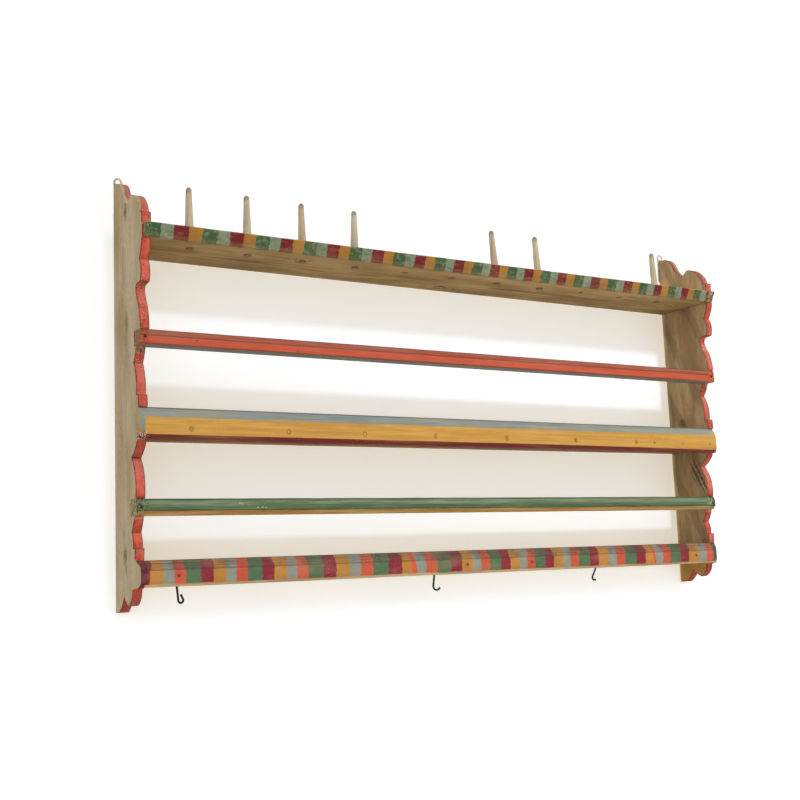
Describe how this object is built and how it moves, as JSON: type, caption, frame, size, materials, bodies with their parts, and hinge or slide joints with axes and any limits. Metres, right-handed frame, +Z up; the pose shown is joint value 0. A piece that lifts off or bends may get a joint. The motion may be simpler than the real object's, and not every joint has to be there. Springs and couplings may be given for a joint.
{
  "type": "wall plate rack",
  "caption": "Wall-hung open-backed plate rack with fretted side boards, shelves, plate rails, painted mouldings, a row of pegs and iron hooks.",
  "frame": {"origin": "middle of the back edge of the bottom shelf, halfway along the rack, in the plane of the wall", "axes": "+X along the rack to the viewer's right, +Y into the wall, +Z up"},
  "size_m": [1.5, 0.176, 0.8575],
  "materials": {
    "side_wood": "bare aged pine faces, worn coral red front edge",
    "top_shelf_wood": "bare brown pine with a painted striped nosing",
    "shelf_wood": "bare aged pine",
    "upper_rail_paint": "worn coral red paint on pine",
    "lower_rail_paint": "worn green paint over an ochre bevel",
    "middle_rail_paint": "worn ochre paint with blue-grey and maroon bevels",
    "bottom_rail_paint": "worn painted stripes in five colours",
    "peg_wood": "bare turned wood, greyed",
    "hook_iron": "blackened iron, slightly rusty",
    "hanger_steel": "dull weathered steel",
    "screw_steel": "dull steel",
    "nail_iron": "rusty iron"
  },
  "bodies": {
    "root": {"side_left": "side_wood", "side_right": "side_wood", "top_shelf": "top_shelf_wood", "middle_shelf": "shelf_wood", "bottom_shelf": "shelf_wood", "upper_rail": "upper_rail_paint", "lower_rail": "lower_rail_paint", "middle_rail": "middle_rail_paint", "bottom_rail": "bottom_rail_paint", "peg_1": "peg_wood", "peg_2": "peg_wood", "peg_3": "peg_wood", "peg_4": "peg_wood", "peg_7": "peg_wood", "peg_8": "peg_wood", "peg_11": "peg_wood", "hook_left": "hook_iron", "hook_middle": "hook_iron", "hook_right": "hook_iron", "hanger_left": "hanger_steel", "hanger_right": "hanger_steel", "hanger_screws": "screw_steel", "upper_rail_nails": "nail_iron", "lower_rail_nails": "nail_iron", "middle_rail_nails": "nail_iron", "bottom_rail_nails": "nail_iron"}
  },
  "joints": []
}
